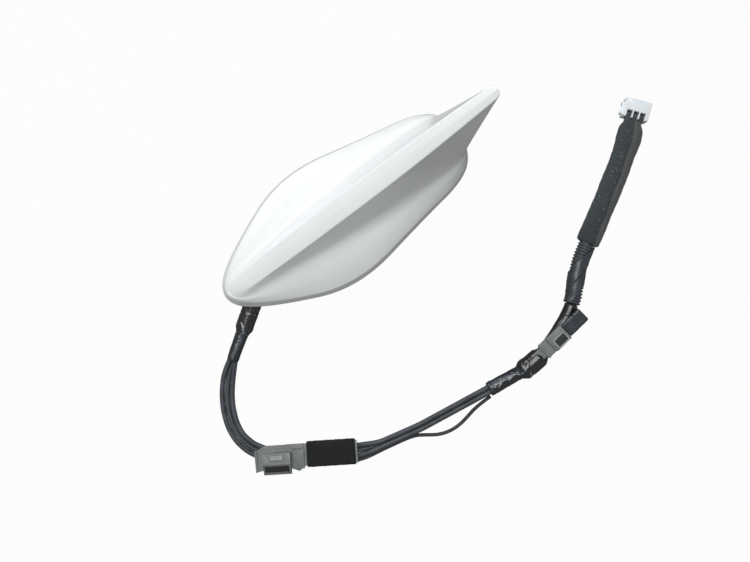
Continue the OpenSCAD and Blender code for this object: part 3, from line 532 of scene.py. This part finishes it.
# %% Local frames and blocks
def placed(P, at, way, lift):
    """Local points (along, to the left, up) set down at a place on the table."""
    d = unit(np.array(way, dtype=float))
    return np.stack([at[0] + P[..., 0] * d[0] - P[..., 1] * d[1],
                     at[1] + P[..., 0] * d[1] + P[..., 1] * d[0],
                     FLOOR + lift + P[..., 2]], axis=-1)

def rounded_box(half, high, corner, steps, straight=8):
    """The outline of a rectangle that stands on zero, and its outward directions."""
    a = np.linspace(0, np.pi / 2, steps)
    q = np.concatenate([a + k * np.pi / 2 for k in range(4)])
    mid_y = np.repeat([half - corner, corner - half, corner - half, half - corner], steps)
    mid_z = np.repeat([high - corner, high - corner, corner, corner], steps)
    out = np.stack([np.cos(q), np.sin(q)], axis=1)
    line = np.stack([mid_y, mid_z], axis=1) + corner * out
    parts, turns = [], []
    for k in range(4):
        last = (k + 1) * steps - 1
        leg = np.linspace(line[last], line[(last + 1) % (4 * steps)], straight + 2)[1:-1]
        parts += [line[k * steps:last + 1], leg]
        turns += [out[k * steps:last + 1], np.repeat(out[last][None], straight, axis=0)]
    return np.concatenate(parts), np.concatenate(turns)

round_steps, long_steps = 9, 70

def pad_piece(name, at, way, lift, x0, x1, half, high, corner, end_r, node_name):
    """A block of wound tape from x0 to x1."""
    end = end_r * (1 - np.cos(np.linspace(0, np.pi / 2, round_steps)))
    x = np.concatenate([x0 + end[:-1], np.linspace(x0 + end_r, x1 - end_r, long_steps),
                        x1 - end[-2::-1]])
    d = np.clip(np.minimum(x - x0, x1 - x) / end_r, 0, 1)
    inset = end_r * (1 - np.sqrt(1 - (1 - d) ** 2))
    line, out = rounded_box(half, high, corner, round_steps)
    around = np.linspace(0, 1, len(line))
    wave = (0.05 * np.sin(1.1 * x[:, None] + 9 * around)
            + 0.04 * np.sin(2.7 * x[:, None] - 20 * around))
    P = np.zeros((len(x), len(line), 3))
    P[..., 0] = x[:, None]
    P[..., 1:] = line + (wave - inset[:, None])[..., None] * out
    P[..., 2] = np.maximum(P[..., 2], 0.03)
    piece = grid_piece(name, placed(P, at, way, lift), flip=True)
    dress(node_name)
    return piece

# %% Make the pads
pad_at, pad_way = stations[at_pad, :2], stations[at_pad + 1, :2] - stations[at_pad, :2]
pad_l = np.linalg.norm(pad_way)
pad_front = pad_piece("front_pad", pad_at, pad_way, 0, 0, pad_l, half=7.0, high=5.6, corner=1.5,
                      end_r=1.3, node_name="tape_pad_front")
clip_2_turn = math.radians(9)
clip_2_at, clip_2_way = (53.75, -124.6), (math.cos(clip_2_turn), math.sin(clip_2_turn))
wrap_r, wrap_gap = 3.702, 0.05
wrap_top = wrap_z + wrap_r + wrap_gap
pad_rear = pad_piece("rear_pad", clip_2_at, clip_2_way, wrap_top, 16.7, 30.2, half=4.15, high=3.8,
                     corner=1.1, end_r=0.9, node_name="tape_pad_rear")

# %% [markdown]
# ## The holders and the plug
# Both holders and the plug are injection moulded. The CAD solids have their true shapes, but a
# mould leaves every edge a little round. Modelling them anew would risk a misfit, so each gets a
# copy whose loose triangles are merged into flat faces, with a Bevel modifier on the sharp edges.
# The front holder's copy is also trimmed along two lines. Ribs, rims, the latch's tongue and the
# dark sheets of painted shade in the socket and under the window are bars: a profile carried along
# a straight line.

# %% Rounded copies and bars
def soften(piece, width):
    """A bevel of this many millimetres on every sharp edge."""
    bevel = piece.modifiers.new("round edges", "BEVEL")
    bevel.width = width * MM
    bevel.segments = 3
    bevel.limit_method = "ANGLE"
    bevel.angle_limit = math.radians(28)
    bevel.harden_normals = True
    piece.data.shade_smooth()

def rounded_copy(name, node_name, width):
    """The CAD node's shape with flat faces in one piece each, and round edges."""
    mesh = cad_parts[node_name].data.copy()
    mesh.materials.clear()
    shape = bmesh.new()
    shape.from_mesh(mesh)
    bmesh.ops.remove_doubles(shape, verts=shape.verts, dist=2e-6)
    bmesh.ops.dissolve_limit(shape, angle_limit=math.radians(1), verts=shape.verts,
                             edges=shape.edges)
    shape.to_mesh(mesh)
    shape.free()
    piece = linked(name, mesh)
    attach(piece, "root")
    dress(node_name)
    soften(piece, width)
    print(name, len(mesh.polygons), "faces")
    return piece

def bar(name, at, way, lift, x0, x1, profile, width):
    """A profile in the upright plane, given as (left, up) corners, from x0 to x1; its edges are
    rounded by the width."""
    P = np.zeros((2, len(profile), 3))
    P[0, :, 0], P[1, :, 0] = x0, x1
    P[..., 1:] = profile
    piece = grid_piece(name, placed(P, at, way, lift), flip=True)
    soften(piece, width)
    return piece

def oblong(y0, y1, z0, z1):
    """A bar's profile with four square corners."""
    return [(y0, z0), (y1, z0), (y1, z1), (y0, z1)]

# %% Trim the front holder
front_holder = rounded_copy("front_holder", "clip_1", 0.35)

def trimmed(piece, at, way, corner, normal):
    """Cut off what lies beyond a line on the holder, given in its own (along, left) directions."""
    line = np.array([[*corner, 0.0], [corner[0] + normal[0], corner[1] + normal[1], 0.0]])
    spot, beyond = placed(line, at, way, 0) * MM
    shape = bmesh.new()
    shape.from_mesh(piece.data)
    whole = shape.verts[:] + shape.edges[:] + shape.faces[:]
    cut = bmesh.ops.bisect_plane(shape, geom=whole, dist=1e-7, plane_co=spot,
                                 plane_no=beyond - spot, clear_outer=True)
    rim = [e for e in cut["geom_cut"] if isinstance(e, bmesh.types.BMEdge)]
    bmesh.ops.contextual_create(shape, geom=rim)
    shape.to_mesh(piece.data)
    shape.free()

left_edge = 6.25
trimmed(front_holder, pad_at, pad_way, (0, left_edge), (0, 1))
trimmed(front_holder, pad_at, pad_way, (-22.5, left_edge), (-0.5, 1))

# %% Features of the front holder
strip_top, socket_h, slant = 5.05, 5.4, math.radians(42)
mouth_mid = np.array([-6.7, socket_h - 3.3 * math.tan(slant)])
slope = np.array([math.cos(slant), math.sin(slant)])
proud = np.array([-math.sin(slant), math.cos(slant)])

def on_slope(run, rise):
    """A point of the slanted face: so far up the slope, and so far out of it."""
    return (mouth_mid + run * slope + rise * proud).tolist()

# A dark sheet inside the socket's mouth: painted shade where the inside lies in shadow.
mouth_shade = bar("socket_painted_shade", pad_at, pad_way, strip_top, -22.6, -9.6,
            [on_slope(*corner) for corner in oblong(-2.8, 2.8, -2.3, -0.5)], 0.1)
tongue = bar("latch_tongue", pad_at, pad_way, strip_top + 5.4, -19.6, -12.6,
             [(-1.2, -0.9), (1.5, -0.9), (1.5, 0.1), (-1.2, -0.1)], 0.15)
wing_rim = bar("wing_rim", pad_at, pad_way, strip_top, -2.2, -1.1,
               [(-7.4, -0.8), (6.2, -0.8), (6.2, 0.9), (2.0, 1.3), (-7.4, 0.4)], 0.2)
left_rib = bar("left_rib", pad_at, pad_way, strip_top, -28.0, -27.0,
               [(-8.0, -1.2), (3.2, -1.2), (3.2, 0.6), (-8.0, 0.2)], 0.2)
neck_rib = bar("neck_rib", pad_at, pad_way, strip_top, -8.4, -2.2,
               oblong(3.8, 5.0, -0.8, 0.8), 0.2)

# %% Make the rear holder
rear_holder = rounded_copy("rear_holder", "clip_2", 0.3)
window_z = wrap_top + 4.2
rim_0, rim_1, rim_right, rim_left, rim_w = 7.4, 15.4, -4.4, 1.3, 0.7
rims = [(rim_0, rim_0 + rim_w, rim_right, rim_left), (rim_1 - rim_w, rim_1, rim_right, rim_left),
        (rim_0 + rim_w, rim_1 - rim_w, rim_left - rim_w, rim_left),
        (rim_0 + rim_w, rim_1 - rim_w, rim_right, rim_right + rim_w)]
frame_bars = [bar(f"window_rim_{k}", clip_2_at, clip_2_way, window_z, x0, x1,
                  oblong(y0, y1, -0.4, 0.3), 0.12)
              for k, (x0, x1, y0, y1) in enumerate(rims)]
# A dark sheet under the window: painted shade.
window = bar("window_painted_shade", clip_2_at, clip_2_way, window_z, 8.2, 14.6,
             oblong(-3.6, 0.5, -0.9, 0.06), 0.05)

# %% Make the plug
plug = rounded_copy("white_plug", "plug_housing", 0.3)
plug_latch = rounded_copy("plug_latch", "plug_lock", 0.25)

# %% [markdown]

# %% Cord facts
def length_of(line):
    return float(np.linalg.norm(np.diff(line, axis=0), axis=1).sum())

for k, (piece, line) in enumerate(zip(leads, lead_lines)):
    print("lead", k + 1, round(length_of(line), 1), "mm")

# %% [markdown]
# ## Table, world and lamps
# The photograph has a pure white ground. The table is grey, so that little light bounces up to the
# skirt, but it glows for the camera and stays white there. One soft lamp hangs overhead, and one
# stands beyond the far side of the fin, so that the near flank is the darker one, as in the
# picture. Neither is so strong that the white lacquer loses its shape. The sky is dim as a light
# and brighter where the lacquer mirrors it.

# %% Colour and material helpers
def ink(code):
    """An sRGB hex code as linear red, green, blue and alpha."""
    c = np.array([int(code[k:k + 2], 16) for k in (0, 2, 4)]) / 255
    c = np.where(c <= 0.04045, c / 12.92, ((c + 0.055) / 1.055) ** 2.4)
    return (*c.tolist(), 1.0)

def node(tree, kind, inputs=None, **settings):
    """One node: its settings, and for each input a number or the output that feeds it."""
    n = tree.nodes.new("ShaderNode" + kind)
    for key, value in settings.items():
        setattr(n, key, value)
    for key, value in (inputs or {}).items():
        if hasattr(value, "is_output"):
            tree.links.new(value, n.inputs[key])
        else:
            n.inputs[key].default_value = value
    return n

def maths(tree, operation, a, b):
    return node(tree, "Math", {0: a, 1: b}, operation=operation).outputs[0]

def blend(tree, share, a, b):
    """Colour a where the share is 0, colour b where it is 1. Either may be a hex code."""
    a, b = (ink(c) if isinstance(c, str) else c for c in (a, b))
    return node(tree, "Mix", {0: share, 6: a, 7: b}, data_type="RGBA").outputs[2]

def noise(tree, where, scale, detail, **more):
    inputs = {key.title(): value for key, value in more.items()}
    inputs.update(Vector=where, Scale=scale, Detail=detail)
    return node(tree, "TexNoise", inputs).outputs[0]

def ramp(tree, value, low, high, *to):
    """From low to high becomes 0 to 1, or the two values given."""
    ends = dict(zip((3, 4), to))
    return node(tree, "MapRange", {0: value, 1: low, 2: high, **ends}).outputs[0]

def mark(tree, name):
    """A number that came along with the mesh."""
    return node(tree, "Attribute", attribute_name=name).outputs["Fac"]

def material(name, **shader):
    """A material whose main shader starts with these numbers."""
    m = bpy.data.materials.new(name)
    m.use_nodes = True
    tree = m.node_tree
    main = tree.nodes["Principled BSDF"]
    for key, value in shader.items():
        main.inputs[key.replace("_", " ")].default_value = value
    where = node(tree, "TexCoord").outputs["Object"]
    return m, tree, main, where

def coat(m, *pieces):
    for piece in pieces:
        piece.data.materials.clear()
        piece.data.materials.append(m)
    print(m.name, "on", len(pieces), "pieces")

def cad(*names):
    return [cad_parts[n] for n in names]

# %% Table and lights
table_size = 3.0
paper = bpy.data.meshes.new("table")
h = table_size / 2
paper.from_pydata([(x, y, FLOOR * MM) for x, y in ((-h, -h), (h, -h), (h, h), (-h, h))],
                  [], [(0, 1, 2, 3)])
linked("table", paper)
m, tree, main, where = material("white paper", Roughness=0.9)
main.inputs["Base Color"].default_value = ink("A0A0A0")
glow = node(tree, "Emission", {"Color": (1, 1, 1, 1), "Strength": 1.0})
ray = node(tree, "LightPath").outputs
clear = maths(tree, "MAXIMUM", ray["Is Camera Ray"], ray["Is Transmission Ray"])
glow_share = 0.97  # the rest keeps a faint shadow
mixed = node(tree, "MixShader", {0: maths(tree, "MULTIPLY", clear, glow_share),
                                 1: main.outputs[0], 2: glow.outputs[0]})
tree.links.new(mixed.outputs[0], tree.nodes["Material Output"].inputs["Surface"])
paper.materials.append(m)

# %% World and lamps
world = bpy.data.worlds.new("studio")
bpy.context.scene.world = world
world.use_nodes = True
tree = world.node_tree
sky_light, sky_seen, sky_mirrored = 0.25, 1.0, 0.4
ray = node(tree, "LightPath").outputs
clear = maths(tree, "MAXIMUM", ray["Is Camera Ray"], ray["Is Transmission Ray"])
shown = maths(tree, "MAXIMUM", clear, maths(tree, "MULTIPLY", ray["Is Glossy Ray"], sky_mirrored))
level = node(tree, "Mix", {0: shown, 2: sky_light, 3: sky_seen}, data_type="FLOAT")
tree.links.new(level.outputs[0], tree.nodes["Background"].inputs["Strength"])
tree.nodes["Background"].inputs["Color"].default_value = (1, 1, 1, 1)

def lamp(name, place, size, watts):
    """A square soft lamp that faces the origin."""
    data = bpy.data.lights.new(name, "AREA")
    data.size = size
    data.energy = watts
    obj = bpy.data.objects.new(name, data)
    obj.location = place
    obj.rotation_euler = Vector(np.zeros(3) - place).to_track_quat("-Z", "Y").to_euler()
    bpy.context.scene.collection.objects.link(obj)

lamp("overhead", place=(0.0, 0.34, 1.26), size=0.6, watts=9.2)
lamp("far_side", place=(-0.15, 1.12, 0.55), size=0.5, watts=6.2)

bpy.context.scene.view_settings.view_transform = "Standard"

# %% [markdown]
# ## Finishes
# Each finish starts from what the real material is and how its surface was made. Photographed
# textures could do it, but they would need unwrapping and carry their own light, so nodes make
# everything. `drift` lets the colour wander between two inks over patches of a given size, and
# `grain` adds a bump of a given size and depth, all in millimetres. `finish` does both at once.

# %% Drifting colour and grain
def drift(tree, where, size, dark, light, detail=3.0):
    tone = ramp(tree, noise(tree, where, 1000 / size, detail), 0.35, 0.65)
    return blend(tree, tone, dark, light)

def bumps(tree, main, height, depth, strength):
    bump = node(tree, "Bump", {"Height": height, "Strength": strength, "Distance": depth * MM})
    tree.links.new(bump.outputs[0], main.inputs["Normal"])

def grain(tree, main, where, size, depth, strength, detail=2.0):
    bumps(tree, main, noise(tree, where, 1000 / size, detail), depth, strength)

def paint(tree, main, colour):
    tree.links.new(colour, main.inputs["Base Color"])

def finish(name, pieces, colours, pits, **shader):
    """A plain finish: size and inks for drift, and size, depth and strength for grain."""
    m, tree, main, where = material(name, **shader)
    paint(tree, main, drift(tree, where, *colours))
    grain(tree, main, where, *pits)
    coat(m, *pieces)

# %% Glossy white paint on ABS
# Sprayed paint under clear lacquer: an even white with a faint orange-peel ripple 2 mm wide.
finish("white lacquered ABS", [cover], (40, "ECF0F1", "F2F5F6"), (2.0, 0.05, 0.08),
       Roughness=0.34, IOR=1.5, Coat_Weight=0.5, Coat_Roughness=0.08)

# %% Dark jackets of the leads and the thin wire
# Extruded PVC with a satin skin; it picks up a little dust, which drifts along it.
finish("satin PVC jacket", leads, (6, "33373C", "454A50"), (0.4, 0.03, 0.2),
       Roughness=0.58, IOR=1.5)
finish("soft black PVC", [wire], (5, "24272B", "33373B"), (0.4, 0.03, 0.2),
       Roughness=0.58, IOR=1.5)

# %% Shiny black vinyl tape
# Shiny black vinyl. The wrinkles' crests and a stripe along the top are painted paler as
# highlights, and the torn edges carry a painted glint.
m, tree, main, where = material("vinyl tape", Roughness=0.24, IOR=1.52)
shade = blend(tree, ramp(tree, mark(tree, "crease_highlight"), 0.9, 2.6), "14171B", "6A7178")
shade = blend(tree, mark(tree, "pale"), shade, "58616B")
lit = ramp(tree, noise(tree, where, 600, 3.0), 0.35, 0.5)
# A painted glint along the torn edge, broken up by noise.
edge_glint = maths(tree, "MULTIPLY", mark(tree, "torn"), lit)
paint(tree, main, blend(tree, edge_glint, shade, "9CA2A4"))
grain(tree, main, where, 4.0, 0.5, 0.2, 0.5)
coat(m, wrap_front, wrap_middle)

# %% Smooth tape on the tube
# The same vinyl drawn flat: a slate sheen, and a dark line where one turn laps over the other.
m, tree, main, where = material("flat vinyl tape", Roughness=0.36, IOR=1.52)
slate = drift(tree, where, 4, "2C3138", "3B4048")
paint(tree, main, blend(tree, mark(tree, "lap"), slate, "15171A"))
grain(tree, main, where, 1.5, 0.08, 0.3)
coat(m, tube_wrap)

# %% Ribbed polypropylene
# Extruded and pressed into ribs. The grooves are painted nearly black as shade, and the crests
# paler.
m, tree, main, where = material("extruded polypropylene", Roughness=0.38, IOR=1.49)
paint(tree, main, blend(tree, mark(tree, "rib"), "07080A", "4C525A"))
grain(tree, main, where, 0.5, 0.03, 0.2)
coat(m, tube)

# %% Charcoal felted foam
# Cut foam with a felt skin: clumped fibres under a millimetre apart, pale specks, and a paler
# glued strip along the seam.
m, tree, main, where = material("felted foam", Roughness=0.95, IOR=1.45, Sheen_Weight=0.1)
fluff = noise(tree, where, 1300, 5.0, roughness=0.7)
shade = blend(tree, ramp(tree, fluff, 0.36, 0.66), "2A2F32", "464D50")
speck = node(tree, "TexVoronoi", {"Vector": where, "Scale": 420.0}).outputs["Distance"]
strip = blend(tree, maths(tree, "MULTIPLY", mark(tree, "seam"), 0.5), shade, "70706F")
paint(tree, main, blend(tree, ramp(tree, speck, 0.16, 0.05), strip, "878C8D"))
bumps(tree, main, fluff, 0.25, 0.6)
coat(m, foam)

# %% Grey nylon of the holders
# Moulded in a spark-eroded tool, which leaves a matt skin of fine pits. The tongue and the
# window's rim get a paler, smoother copy of it: painted highlights.
finish("moulded grey nylon", [front_holder, wing_rim, left_rib, neck_rib, rear_holder],
       (8, "6C7170", "7C8180"), (0.35, 0.05, 0.16), Roughness=0.48, IOR=1.53)
# A paler copy of the same nylon: painted highlight on the tongue and the window's rim.
finish("grey nylon painted paler", [tongue, *frame_bars], (4, "939C9A", "A5ADAB"), (0.35, 0.04, 0.12),
       Roughness=0.36, IOR=1.53)

# %% White PBT of the plug
# A little translucent and cool white, with a fine satin skin.
finish("white PBT", [plug, plug_latch], (5, "E6EDF2", "F0F5F8"), (0.3, 0.03, 0.25),
       Roughness=0.36, IOR=1.55, Subsurface_Weight=0.1, Subsurface_Scale=0.001)

# %% Cloth tape of the front pad
# Woven tape in a matt black rubbery coat. Real threads are 0.3 mm apart; they are drawn 0.6 mm
# apart here, so that the weave shows. Two crossed sets of bands turned to the pad make it.
# The wave node's bands are one thread apart when its scale is about 1000 / 3.14 / thread.
m, tree, main, where = material("black cloth tape", Roughness=0.9, IOR=1.45)
thread_mm = 0.6
turned = node(tree, "Mapping", {"Vector": where, "Rotation": (
    0, 0, -math.atan2(pad_way[1], pad_way[0]))}, vector_type="TEXTURE")
threads = [node(tree, "TexWave", {"Vector": turned.outputs[0], "Scale": 1000 / thread_mm / 3.14,
                                  "Distortion": 0.4, "Detail": 1.0}, bands_direction=d).outputs[1]
           for d in ("X", "Y")]
paint(tree, main, drift(tree, where, 3, "0D1012", "15181A"))
bumps(tree, main, maths(tree, "MULTIPLY", *threads), 0.1, 0.4)
coat(m, pad_front)

# %% Glossy tape of the rear pad
# Smooth vinyl with pale scuffs across it where it was pressed down.
m, tree, main, where = material("black tape with scuffs", Roughness=0.24, IOR=1.52)
scuff = ramp(tree, noise(tree, where, 520, 4.0, distortion=1.2), 0.62, 0.75)
dark = drift(tree, where, 4, "262A33", "333841")
paint(tree, main, blend(tree, maths(tree, "MULTIPLY", scuff, 0.45), dark, "868C92"))
grain(tree, main, where, 1.2, 0.1, 0.3)
coat(m, pad_rear)

# %% Rubber of the gasket and the grommet, acetal of the hidden clip, and painted shade
# Rubber leaves its mould dull, acetal leaves it smooth and a little waxy. The socket's mouth and
# the window get dark sheets in the acetal finish: painted shade.
finish("moulded EPDM rubber", [*beads, *cad("gasket", "cable_grommet")],
       (4, "17181A", "242628"), (0.5, 0.05, 0.4), Roughness=0.72, IOR=1.5)
finish("black acetal and painted shade", [mouth_shade, window, *cad("retaining_clip", "inner_plug")],
       (6, "141517", "1F2123"), (0.3, 0.03, 0.25), Roughness=0.38, IOR=1.48)

# %% Die-cast base
# Zinc alloy from a die: a dull grey skin with flow marks some millimetres wide and fine pits.
m, tree, main, where = material("die-cast zinc alloy", Metallic=1.0)
paint(tree, main, drift(tree, where, 12, "8E9092", "A9ABAD", detail=5.0))
dull = ramp(tree, noise(tree, where, 140, 6.0, distortion=1.5), 0.3, 0.7, 0.34, 0.55)
tree.links.new(dull, main.inputs["Roughness"])
grain(tree, main, where, 0.5, 0.08, 0.35, 4.0)
coat(m, *cad("base_plate"))

# %% Zinc-plated steel of the screws
# Bright plating over a rolled thread blank, with a fine grain.
finish("zinc-plated steel", cad("cover_screws", "board_screws"), (1.5, "A3A6AB", "C3C5C4"),
       (0.25, 0.02, 0.3), Roughness=0.3, Metallic=1.0)

# %% Circuit boards
# Glass-fibre laminate under green resist. Copper tracks show through as a paler green, in
# straight runs with square corners.
m, tree, main, where = material("green solder resist", Roughness=0.32, IOR=1.55)
tracks = node(tree, "TexBrick", {
    "Vector": where, "Scale": 220.0, "Mortar Size": 0.06, "Brick Width": 1.3, "Row Height": 0.42,
    "Color1": ink("1C5233"), "Color2": ink("206038"), "Mortar": ink("2F7D4C")})
paint(tree, main, tracks.outputs["Color"])
bumps(tree, main, tracks.outputs["Fac"], 0.04, 0.5)
coat(m, *cad("main_board", "fin_board"))

# %% Tin-plated sheet
# Rolled sheet, so its fine scratches run one way.
m, tree, main, where = material("tin-plated sheet", Roughness=0.3, Metallic=1.0)
rolled = node(tree, "Mapping", {"Vector": where, "Scale": (0.06, 1, 1)})
paint(tree, main, drift(tree, where, 9, "B9BABC", "CFD0D1"))
bumps(tree, main, noise(tree, rolled.outputs[0], 2400, 3.0), 0.02, 0.4)
coat(m, *cad("shield_can", "top_plate", "front_radiator"))

# %% Fired ceramic, plated brass and enamelled copper
# The ceramic is dry and speckled. The brass pins and the copper coil are drawn wire, so smooth.
finish("fired ceramic", cad("gps_patch"), (0.8, "BDA97F", "D2BF97"), (0.4, 0.04, 0.4),
       Roughness=0.62, IOR=1.6)
finish("plated brass", cad("gps_feed_pin", "inner_pins", "plug_contacts"),
       (2, "C9A65C", "DDBE78"), (0.3, 0.01, 0.3), Roughness=0.27, Metallic=1.0)
finish("enamelled copper wire", cad("loading_coil"), (1, "B5693F", "CF8558"), (0.2, 0.01, 0.3),
       Roughness=0.28, Metallic=1.0)
